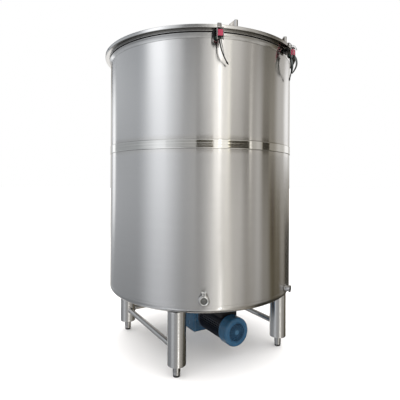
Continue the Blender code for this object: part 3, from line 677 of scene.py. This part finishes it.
# %% Seam band
BAND_FOOT = 600.6
BAND_FACE = 601.6
share = np.linspace(0, 1, 61)
lips = np.clip(1 - np.minimum(share, 1 - share) / 0.07, 0, 1)
ridges = BAND_FACE + 0.06 * np.cos(2 * math.pi * 3 * (share - 0.5)) + 0.7 * np.sin(lips * math.pi) ** 2
band_outer = np.column_stack((ridges, SEAM_LOW + 0.4 + share * (SEAM_HIGH - SEAM_LOW - 0.8)))
band_section = np.vstack(([(BAND_FOOT, SEAM_LOW)], band_outer,
                          [(BAND_FOOT, SEAM_HIGH), (SHELL_INNER, SEAM_HIGH), (SHELL_INNER, SEAM_LOW)]))
piece("polished_seam_band", [turned(band_section, 360)], BAND_STEEL, "seam_band", sharp=60)

# %% [markdown]
# The bottom is a flat plate with its edge pressed up into a short wall. The curve catches a thin bright
# line all round the tank's foot, so its arc gets many steps.

# %% Bottom head
BOTTOM = 366
KNUCKLE = 35
BOTTOM_WALL = 6
knuckle_centre = (SHELL_RADIUS - KNUCKLE, BOTTOM + KNUCKLE)
head_section = np.vstack((
    [(0, BOTTOM), (300, BOTTOM), (550, BOTTOM)], arc(knuckle_centre, KNUCKLE, -90, 0, 28),
    [(SHELL_RADIUS, HEAD_TOP - 1), (SHELL_RADIUS - 1, HEAD_TOP), (SHELL_RADIUS - BOTTOM_WALL, HEAD_TOP)],
    arc(knuckle_centre, KNUCKLE - BOTTOM_WALL, 0, -90, 12),
    [(300, BOTTOM + BOTTOM_WALL), (0, BOTTOM + BOTTOM_WALL)]))
piece("pressed_bottom_head", [turned(head_section, 288, closed=False)], SHELL_STEEL, "bottom_head")

# %% [markdown]
# The shell ends in a flat flange with a weld fillet under it. The seal lies on it as a dark line, and over
# both reaches the lid's broad ring, which shows its rounded outer face, its flat underside darkened by
# painted shade, and the lip that presses on the seal.

# %% Flange, seal and lid ring
RIM_TOP = 1885
RING_RADIUS = 636
collar_section = [(SHELL_INNER, 1825), (600.3, 1825), (602, 1833.5), (604.6, 1841.5), (608.4, 1848),
                  (609, 1849), (609, 1851), (SHELL_INNER, 1851)]
piece("flange_ring", [lathed(collar_section, 1.2, 3, 360, True)], COLLAR_STEEL, "rim_collar")
piece("lid_seal", [lathed(block(SHELL_INNER, 1851.3, 604, 1856.9), 2.2, 4, 288, True)], SEAL, "rim_seal")
ring_section = [(SHELL_INNER, 1857.2), (612, 1857.2), (612, 1864), (RING_RADIUS, 1864),
                (RING_RADIUS, RIM_TOP), (SHELL_INNER, RIM_TOP)]
ring_edges = [0.5, 1.4, 1, 4.6, 4.6, 1]
piece("lid_edge_ring", [lathed(ring_section, ring_edges, 6, 360, True)], RING_STEEL, "lid_ring")

# %% [markdown]
# The lid's plate is a shallow dish inside the ring, seen only from above. Its height falls from the middle
# as a quarter of a cosine wave, so that it drains outwards.

# %% Lid plate
LID_EDGE = SHELL_INNER - TOUCH_GAP
dish_radius = np.linspace(0, LID_EDGE, 40)
dish = 1883 + 25 * np.cos(0.5 * math.pi * dish_radius / LID_EDGE)
top_side = np.column_stack((dish_radius, dish))
lid_section = np.vstack((top_side, (top_side - (0, 4))[::-1]))
piece("dished_lid_plate", [turned(lid_section, 192, closed=False)], SHELL_STEEL, "lid_plate")

# %% [markdown]
# Each leg is a wide tube with an end plate and a weld bead under the tank, and in it stands a screw foot
# on a rubber pad. The four are the same turned shapes moved to their places.

# %% Legs, feet and pads
LEG_CIRCLE = 529
LEG_RADIUS = 51.5
LEG_ANGLES = {"front_left": -45, "front_right": 45, "back_right": 135, "back_left": -135}
leg_section = [(12.7, 65.2), (LEG_RADIUS, 65.2), (LEG_RADIUS, 365.5), (48.5, 365.5), (48.5, 75.2),
               (12.7, 75.2)]
leg_shapes = [lathed(leg_section, [1, 2.8, 0.3, 0.3, 2, 1], 5, 96, True),
              turned(arc((52.5, 362.5), 2.8, 0, 330, 11), 96)]
foot_section = [(0, 9.3), (18.5, 9.3), (20.5, 11.5), (20.5, 20), (19, 21.5), (19, 24.5), (21.2, 26.5),
                (21.2, 60), (18, 64.6), (11.8, 64.6), (11.8, 88), (0, 88)]
pad_section = [(0, 0), (17.5, 0), (19.5, 2), (19.5, 7), (18, 9), (0, 9)]
leg_sets = (("leg_tube_", leg_shapes, LEG_STEEL, "leg_"),
            ("screw_foot_", [lathed(foot_section, 0.7, 2, 64)], SMALL_STEEL_PAINTED_SHADE, "foot_"),
            ("rubber_pad_", [lathed(pad_section, 0.9, 2, 64)], PAD, "foot_pad_"))

for side, angle in LEG_ANGLES.items():
    place = rim_frame(LEG_CIRCLE, angle, 0)[3]
    for name, shapes, finish, node in leg_sets:
        piece(name + side, [moved(shape, place) for shape in shapes], finish, node + side)

# %% [markdown]
# Round tubes brace the legs on three sides, and the side of the motor stays open. Where a tube meets a leg
# it is cut to a saddle that follows the leg's round wall, and a bead of weld lies on that curve.

# %% Braces
BRACE_RADIUS = 17
BRACE_Z = 146


def saddle(span, sideways):
    """Where along the tube the leg's wall is met, at x to the side: span/2 - sqrt(R R - x x)."""
    return span / 2 - np.sqrt((LEG_RADIUS + TOUCH_GAP) ** 2 - sideways ** 2)


def saddle_tube(span):
    """A tube along the first axis whose ends fit round two legs."""
    section = circle(BRACE_RADIUS, 40)
    reach = saddle(span, section[:, 0])
    return skin([np.column_stack((part * reach, section)) for part in (-1, -0.98, 0.98, 1)])


def saddle_bead(span, end, count=40, thickness=2.4):
    """A bead on the saddle curve: a small circle across the tube's own axis and the radial one."""
    turns = even_turns(count)
    radial = np.column_stack((0 * turns, np.cos(turns), np.sin(turns)))
    run = end * (saddle(span, BRACE_RADIUS * np.cos(turns)) - thickness)
    centre = radial * BRACE_RADIUS + run[:, None] * X
    ripple = thickness * (1 + 0.10 * np.cos(20 * turns))[:, None, None]
    small = circle(1, 8)[None]
    around = small[..., :1] * X + small[..., 1:] * radial[:, None]
    return (centre[:, None] + ripple * around).reshape(-1, 3), net(count, 8, close_rows=True)


braced = ("front_left", "back_left", "back_right", "front_right")
for first, second in zip(braced, braced[1:]):
    start, end = (np.array(rim_frame(LEG_CIRCLE, LEG_ANGLES[leg], BRACE_Z)[3]) for leg in (first, second))
    span = float(np.linalg.norm(end - start))
    run = (end - start) / span
    sideways = (-run[1], run[0], 0)
    shapes = [saddle_tube(span), saddle_bead(span, -1), saddle_bead(span, 1)]
    name = first + "_" + second
    piece("brace_tube_" + name, [laid(shape, run, sideways, Z, (start + end) / 2) for shape in shapes],
          BRACE_STEEL, "brace_" + name)

# %% [markdown]
# Under the bottom hangs the drive: a steel flange with hexagon bolts, and the gear housing, a casting.

# %% Drive flange and gear housing
def bolt_head(width, height, centre):
    """A hexagon head that points down: six corners at even turns, and a washer over it."""
    head = slab(eased(circle(width / math.sqrt(3), 6), 0.6, 2), 0, height, 0.7, 2)
    rim = width * 0.68
    washer = turned([(0, -1.2), (rim, -1.2), (rim, 0.3), (0, 0.3)], 24, False)
    return [laid(shape, X, FORWARDS, DOWN, centre) for shape in (head, washer)]


flange_top = BOTTOM - TOUCH_GAP
flange_section = [(0, 300.5), (75, 300.5), (75, 349.7), (110, 349.7), (110, flange_top), (0, flange_top)]
flange_shapes = [lathed(flange_section, [0, 1, 4, 1.5, 1.5, 0], 3, 128)]
for bolt in range(8):
    flange_shapes += bolt_head(16, 8.5, rim_frame(92.5, 45 * bolt + 22.5, 348.6)[3])
piece("drive_flange_steel", flange_shapes, FLANGE_STEEL, "drive_flange")

gear_box = rounded_box((186, 180, 223), (0, 0, 188.5), corner=16, edge=10, steps=6)
piece("gear_housing_casting", [gear_box], BLUE, "gear_housing")

# %% [markdown]
# The motor lies level and points forwards. Its body is a drum with a ring at each end and thirty-six
# cooling fins, shorter under the terminal box: few enough to be real shapes with deep dark gaps.

# %% Motor
MOTOR_START = 112.6
MOTOR_END = 360
motor_origin = (0, 0, 179)


def on_motor(shape, first=X, second=Z):
    """A shape about its own third axis, laid along the motor's axis so that it points forwards."""
    return laid(shape, first, second, FORWARDS, motor_origin)


def around_motor(count):
    """Pairs of directions, outwards and sideways, at even turns about the motor's axis."""
    x, z = circle(1, count).T
    return zip(np.column_stack((x, 0 * x, z)), np.column_stack((-z, 0 * x, x)))


motor_flange = [(0, 90.3), (80, 90.3), (80, 100), (76, 102), (76, 112.3), (0, 112.3)]
piece("motor_flange_disc", [on_motor(lathed(motor_flange, [0, 2, 1, 1, 1, 0]))], BLUE, "motor_flange")

body_section = [(0, MOTOR_START), (77.2, MOTOR_START), (77.2, 128), (66, 131), (66, 344), (77.2, 347),
                (77.2, MOTOR_END), (0, MOTOR_END)]
body_shapes = [on_motor(lathed(body_section, [0, 1.5, 2, 1, 1, 2, 1.5, 0]))]
fin_outline = eased([(64, -2), (77.8, -1.1), (77.8, 1.1), (64, 2)], 0.8, 2)
for out, beside in around_motor(36):
    under_box = out[2] > 0.70
    fin_end = 238 if under_box else 345.5
    body_shapes.append(on_motor(slab(fin_outline, 127, fin_end, 0.4, 1), out, beside))
piece("finned_motor_body", body_shapes, NAVY, "motor_body")

# %% [markdown]
# The fan turns under a pressed cover with a wide rounded edge. Two millimetres behind its face sits a
# grille of narrow rings and spokes round a small hub. Its openings are real gaps before a dark shield,
# because a painted pattern would stay flat.

# %% Fan cover and grille
COVER_FACE = 429
COVER_EDGE = 14
GRILLE_RADIUS = 57
edge_middle = (71, COVER_FACE - COVER_EDGE)
cover_section = np.vstack((
    [(81.5, 357), (84.5, 357), (85, 357.8), (85, 363), (84.2, 364.5), (84.2, 411)],
    arc(edge_middle, COVER_EDGE - 0.4, 0, 90, 12),
    [(61, COVER_FACE), (58.5, 428.4), (57.3, 426.5), (57.3, 424.5), (61, 424.5)],
    arc(edge_middle, COVER_EDGE - 4.4, 90, 0, 8)))
piece("fan_cover_shell", [on_motor(turned(cover_section, 128))], BLUE, "fan_cover")

grille_shapes = []
for middle in (16.5, 25.5, 34.5, 43.5, 52.5, 55.8):
    ring_outline = block(middle - 1.4, 424.4, middle + 1.4, COVER_FACE - 2)
    grille_shapes.append(on_motor(lathed(ring_outline, 0.6, 1, 96, True)))
for out, beside in around_motor(18):
    spoke = slab(block(12, -1.1, GRILLE_RADIUS, 1.1), 424.2, 426.6, 0.4, 1)
    grille_shapes.append(on_motor(spoke, out, beside))
hub_section = [(0, 423), (13.5, 423), (13.5, 427.8), (8.5, 427.8), (8.5, 425.6), (0, 425.6)]
piece("fan_grille", grille_shapes, GRILLE_BLUE)
piece("fan_grille_hub", [on_motor(lathed(hub_section, 1, 3, 64))], HUB_BLUE)

shield_section = [(0, 360.3), (80.7, 360.3), (80.7, 372.3), (66, 372.3), (52, 400), (0, 400)]
shield = on_motor(lathed(shield_section, [0, 1, 1, 6, 6, 0], 4))
piece("motor_end_shield_disc", [shield], NAVY, "motor_end_shield")

# %% [markdown]
# The terminal box on the motor is a base and a slightly wider lid with rounded edges, held by four screws.

# %% Terminal box
BOX_Y = -296
box_shapes = [rounded_box((116, 106, 36), (0, BOX_Y, 264.2), 6, 1, 4),
              rounded_box((120, 110, 19.5), (0, BOX_Y, 292), 8, 5, 5)]
screw = pole(drum(4, 300.5, 302, 0.6, 2), 20)
box_shapes += [moved(screw, (x, BOX_Y + y, 0)) for x in (-48, 48) for y in (-43, 43)]
piece("terminal_box_moulding", box_shapes, BOX_BLACK, "terminal_box")

# %% [markdown]
# Low on the front stands the outlet: a short pipe with a ferrule, a dished cap, and a hinged clamp ring
# with a wing nut that squeezes the two together. A plain stub stands further round to the right.

# %% Outlet and side stub
def on_wall(shape, angle, height):
    """A shape about its own third axis, laid so that this axis stands out from the wall there."""
    out, along_wall, up, origin = rim_frame(SHELL_RADIUS, angle, height)
    return laid(shape, along_wall, up, out, origin)


def outlet_piece(name, shapes, finish, *nodes):
    piece("outlet_" + name, [on_wall(shape, -29.45, 449) for shape in shapes], finish, *nodes)


def wall_stub(radius, wall, reach, lip_radius, lip, bead=5):
    """A stub: a weld fillet at the wall, the pipe, a lip with a sloping back, and the bore."""
    section = [(radius - wall, 0.8), (radius + bead, 1), (radius + bead * 0.45, bead * 0.5),
               (radius, bead), (radius, reach - lip - 2), (lip_radius, reach - lip), (lip_radius, reach),
               (radius - wall, reach)]
    return lathed(section, 0.6, 3, 72, True)


CLAMP_MIDDLE = 30.6
outlet_piece("ferrule_pipe", [wall_stub(17.5, 2.5, 30, 25.3, 3)], CAP_STEEL_PAINTED_SHADE, "outlet_ferrule")
cap_section = [(0, 31.2), (18, 31.2), (18, 33.2), (8, 33.2), (6.6, 34.6), (0, 34.6)]
outlet_piece("end_cap", [lathed(cap_section, [0, 0.8, 0.8, 0.8, 1.2, 0], 4, 72)], CAP_STEEL_PAINTED_SHADE, "outlet_cap")
cap_rim = [(18, 31.2), (25, 31.2), (25, 35.2), (20, 36.8), (18, 35.2)]
outlet_piece("cap_rim", [lathed(cap_rim, [0.6, 0.8, 1.6, 1.6, 0.8], 4, 72, True)], OUTLET_STEEL_PAINTED_HIGHLIGHT)

clamp_outline = [(25.6, 22.6), (29, 24), (30.8, 27), (30.8, 34.2), (29, 37.2), (25.6, 38.6)]
hinge = pole(drum(4.2, -8, 8), 24, "X", (0, -32.5, CLAMP_MIDDLE))
outlet_piece("clamp_ring", [lathed(clamp_outline, 0.8, 3, 72, True), hinge], LUG_STEEL, "outlet_clamp")
ears = [rounded_box((7.5, 14, 16), (shift, 35, 31), 1.5, 1.2) for shift in (-6.2, 6.2)]
outlet_piece("clamp_ears", ears, OUTLET_STEEL_PAINTED_HIGHLIGHT)

nut = eased([(0, 41.8), (6, 41.8), (5.2, 47), (0, 47)], [0, 0.8, 1.2, 0], 3, closed=False)
nut_shapes = [pole(nut, 32, "Y")]
for mirror in (-1, 1):
    wing_path = smooth_path([(mirror * x, y, 0) for x, y in ((4, 44), (8, 45), (12.5, 47.2))], 9)
    nut_shapes.append(swept(wing_path, circle(1, 12) * (3.4, 1.6), sizes=np.linspace(1, 1.25, 9)))
nut_shapes = [moved(shape, (0, 0, CLAMP_MIDDLE)) for shape in nut_shapes]
outlet_piece("clamp_nut", nut_shapes, OUTLET_STEEL_PAINTED_HIGHLIGHT, "outlet_wing_nut")
side_stub = on_wall(wall_stub(17, 3, 34, 20.8, 6.5), 28, 427)
piece("side_pipe_stub", [side_stub], SMALL_STEEL_PAINTED_SHADE, "side_stub")

# %% [markdown]
# Two toggle clamps hold the lid's ring. Each has a black bracket on the flange, a lever that turns on its
# pin, and a hooked steel link with a red block, which hangs on the lever and reaches over the ring. The
# clamp's own axes run outwards, along the rim, and up from the ring's outer top edge.

# %% Clamp measures
CLAMP_ANGLES = {"left": -22.8, "right": 24.4}
PIVOT = np.array((2, 0, -74))
LINK_ARM = 19.7
LINK_ARM_TURN = math.radians(66)
LINK_PIVOT = PIVOT + LINK_ARM * np.array((math.sin(LINK_ARM_TURN), 0, -math.cos(LINK_ARM_TURN)))
BLOCK_OUT = 21
BLOCK_MIDDLE = -54.5
BLOCK_HALF_HEIGHT = 17.2
LEVER_SWEEP = 54
LEVER_DROP = 129
LEVER_BEND = 2.4


def on_lever(route, count):
    """A smooth line through (outwards, drop) points, swept sideways by sweep (drop / full) ** bend."""
    line = smooth_path(route, count)
    sideways = LEVER_SWEEP * (np.maximum(line[:, 1], 0) / LEVER_DROP) ** LEVER_BEND
    return np.column_stack((line[:, 0], sideways, -line[:, 1])) + PIVOT


def clamp_piece(side, name, shapes, finish, part=None, moves_with=None):
    """One piece of shapes carried from the clamp's own axes to its place on the rim."""
    axes = rim_frame(RING_RADIUS, CLAMP_ANGLES[side], RIM_TOP)
    clamp = "clamp_" + side + "_"
    nodes = [clamp + part] if part else []
    body = clamp + moves_with if moves_with else "tank"
    piece(clamp + name, [laid(shape, *axes) for shape in shapes], finish, *nodes, body=body)


print("lever pivots", PIVOT.round(1), "and", LINK_PIVOT.round(1))

# %% [markdown]
# The bracket's plate is screwed to the flange and has a shelf out under the ring. From its left end a hook
# bar hangs down and curls to the right round the knob: an oval section carried along a straight line and
# an arc. The knob is a flattened ball on the lever's pin.

# %% Bracket and knob
BAR_ALONG = -29.25
BAR_CURL = 11.75
KNOB_ALONG = BAR_ALONG + BAR_CURL
pin_line = (PIVOT[0], 0, PIVOT[2])

plate = rounded_box((5, 45, 27), (-24.2, -9.8, -44.5), 1.2, 0.8)
shelf = rounded_box((30, 44, 5.2), (-11.5, -9.8, -34.5), 2, 1.2)
hook_line = np.vstack((np.column_stack((np.full(8, BAR_ALONG), np.linspace(-30.5, -71.5, 8))),
                       arc((KNOB_ALONG, PIVOT[2]), BAR_CURL, 180, 308, 18)))
hook_bar = swept(np.column_stack((np.full(27, 1), hook_line)), circle(1, 20) * (4.1, 4), up=X)
pin = pole(drum(4, KNOB_ALONG, 5.2, 0.6, 2), 24, "Y", pin_line)
screws = [pole(drum(4.2, -21.8, -19.6, 0.8), 24, "X", (0, along_rim, -46)) for along_rim in (-16, 5)]
knob_profile = [(0, -7), (4, -8), (8, -5), (9.2, 0), (8, 5), (4.5, 7.8), (0, 8)]
knob = pole(smooth_path(np.array(knob_profile) + (0, KNOB_ALONG), 36), 40, "Y", pin_line)

for side in CLAMP_ANGLES:
    clamp_piece(side, "black_bracket", [plate, shelf, hook_bar, pin] + screws, BLACK_COAT, "bracket")
    clamp_piece(side, "green_knob", [knob], KNOB_GREEN)

# %% [markdown]
# The lever's rod runs down beside the shell and swings to the right, more and more with its depth. Two
# flat bars make its blade: one follows the rod, the other bows outwards, and an open slot shows between
# them. The tip is a thick sleeve with a small button at its end.

# %% Lever
ROD_ROUTE = ((0, 0), (1, 12), (3, 26), (6, 44), (6, 63), (3, 80), (-2, 94), (-9, 107), (-15, 116),
             (-20, 124.5))
INNER_BAR = ((2, 4), (8, 18), (12, 34), (13, 52), (10, 70), (5, 84), (0, 95))
OUTER_BAR = ((4, 1), (16, 3), (29, 8), (37, 20), (40, 36), (39, 52), (32, 68), (18, 84), (4, 95))
# Two millimetres thick, and half of the bar's width to each side
BLADE_SECTION = eased(block(-MM, -0.5, MM, 0.5), 0.4 * MM, 2) / (MM, 1)


def blade_bar(route, widths, count=40):
    """A flat bar along a route of the lever: its section's long side lies in the lever's own plane."""
    line = on_lever(route, count)
    wide = unit(np.cross(unit(np.gradient(line, axis=0)), Y))
    width = np.interp(np.linspace(0, 1, count), np.linspace(0, 1, len(widths)), widths)
    thin, long = BLADE_SECTION[None, :, :1], BLADE_SECTION[None, :, 1:]
    return skin(line[:, None] + thin * Y + long * (width[:, None] * wide)[:, None])


rod_line = on_lever(ROD_ROUTE, 80)
blade_shapes = [blade_bar(INNER_BAR, (10, 14, 14, 11, 6)), blade_bar(OUTER_BAR, (12, 13, 11, 11, 9, 6)),
                pole(drum(3, -20, 20, 0.6, 2), 20, "Y", LINK_PIVOT)]
rod = swept(rod_line, circle(3.2, 14), up=Y)
sleeve = swept(rod_line[70:], circle(4.6, 16), up=Y, sizes=[0.6, 0.9, 1, 1, 1, 1, 1, 1, 0.9, 0.5])
button_at = rod_line[-1] + 2.2 * (rod_line[-1] - rod_line[-2])
button = pole([(0, -2.6), (2, -1.8), (2.8, 0), (2, 1.8), (0, 2.6)], 16, "Z", button_at)
eye = laid(lathed(block(4.3, -4, 8.2, 4), 0.8, 2, 40, True), Z, X, Y, PIVOT)

for side in CLAMP_ANGLES:
    clamp_piece(side, "lever_blade", blade_shapes, BLADE_STEEL, None, "lever")
    clamp_piece(side, "lever_rod", [rod, sleeve, button, eye], BLACK_COAT, "lever", "lever")

# %% [markdown]
# The link hangs from the lever by two eyes. Thin rails run up from them beside the red block to a yoke,
# and from there the hook bends over the ring, with a thin spring wire. The block stands on a black foot,
# and its sides move in by 0.6 (1 - cos) mm three times for the grip.

# %% Link and grip
link_shapes = []
for shift in (-16.3, 16.3):
    eye = lathed(block(3.3, -1.9, 6.8, 1.9), 0.7, 2, 32, True)
    link_shapes.append(laid(eye, Z, X, Y, LINK_PIVOT + (0, shift, 0)))
    for rail_out, foot_out in ((13.8, 15), (28.2, 24.8)):
        rail = [(rail_out, shift, level) for level in (-26.2, -45, -66)] + [(foot_out, shift, -79)]
        link_shapes.append(swept(smooth_path(rail, 24), circle(1.7, 10), up=Y))
link_shapes.append(rounded_box((18, 36, 4.8), (BLOCK_OUT, 0, -26.8), 1.5, 1.2))
strap_line = [(17.5, 0, -28.5), (15, 0, -20), (10.5, 0, -9), (7, 0, -1), (2, 0, 4.5), (-5, 0, 5.8),
              (-12, 0, 4.4), (-16.5, 0, 2.2)]
strap_section = eased(block(-9.5, -1.7, 9.5, 1.7), 1.2, 3)
link_shapes.append(swept(smooth_path(strap_line, 60), strap_section, up=(1e-4, 0, 1)))

wire_line = smooth_path([(13, 0, -10), (23, 0, -12), (32, 0, -19), (39, 0, -29), (45, 0, -46)], 30)
wire = swept(wire_line, circle(1, 10), up=Y, sizes=[1] * 24 + [1.2, 1.6, 2, 2.1, 1.9, 1.2])
block_foot = rounded_box((17.2, 26.8, 4.4), (BLOCK_OUT, 0, -73.5), 3, 1.2)

levels = np.linspace(-1, 1, 25)
groove = 0.6 * (1 - np.cos(3 * math.pi * (levels + 1)))
rim = 2.6 * (1 - np.sqrt(np.clip(1 - np.clip((abs(levels) - 0.86) / 0.14, 0, 1) ** 2, 0, 1)))
grip_outline = eased(block(-8.8, -13.9, 8.8, 13.9), 3.4, 4)
grip = stacked(grip_outline, groove + rim, BLOCK_MIDDLE + BLOCK_HALF_HEIGHT * levels)

for side in CLAMP_ANGLES:
    clamp_piece(side, "hooked_link", link_shapes, HOOK_STEEL, "link", "link")
    clamp_piece(side, "spring_wire_and_foot", [wire, block_foot], BLACK_COAT, None, "link")
    clamp_piece(side, "red_grip", [moved(grip, (BLOCK_OUT, 0, 0))], GRIP_RED, "grip", "link")

# %% [markdown]
# On top of the ring stand two lugs: a round post with a domed head, and beside it a sloping gusset, a flat
# plate welded down along its foot.

# %% Lid lugs
LUG_ANGLES = {"left": -15.5, "right": 20.4}
LUG_CIRCLE = 618
post_section = [(0, 0), (12.8, 0), (11.8, 2.2), (10.4, 3.4), (10.4, 38.5), (0, 38.5)]
post = moved(lathed(post_section, [0, 0.4, 1, 1, 5, 0], 6, 48), (15.5, 0, 0))
gusset_corners = [(-30, 0), (12, 0), (12, 35), (-1, 33), (-21.5, 16), (-26, 12)]
gusset_outline = eased(gusset_corners, [1, 1, 3, 10, 8, 3], 5)
gusset = laid(slab(gusset_outline, -3, 3, 1.2), X, Z, FORWARDS, (4, 0, 0.2))
bead_line = np.linspace((-25.5, 0, 1.6), (6, 0, 1.6), 20)
bead = swept(bead_line, circle(1, 10) * (5.2, 1.6))
for side, angle in LUG_ANGLES.items():
    out, along_rim, up, origin = rim_frame(LUG_CIRCLE, angle, RIM_TOP + TOUCH_GAP)
    inwards = tuple(-part for part in out)
    lug_parts = [laid(shape, along_rim, inwards, up, origin) for shape in (post, gusset, bead)]
    piece("lug_" + side, lug_parts[:1], LUG_STEEL, "lid_lug_" + side)
    piece("lug_gusset_" + side, lug_parts[1:], HOOK_STEEL)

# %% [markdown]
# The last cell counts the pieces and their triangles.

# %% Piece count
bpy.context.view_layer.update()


print(len(triangles), "pieces with", sum(triangles), "triangles")
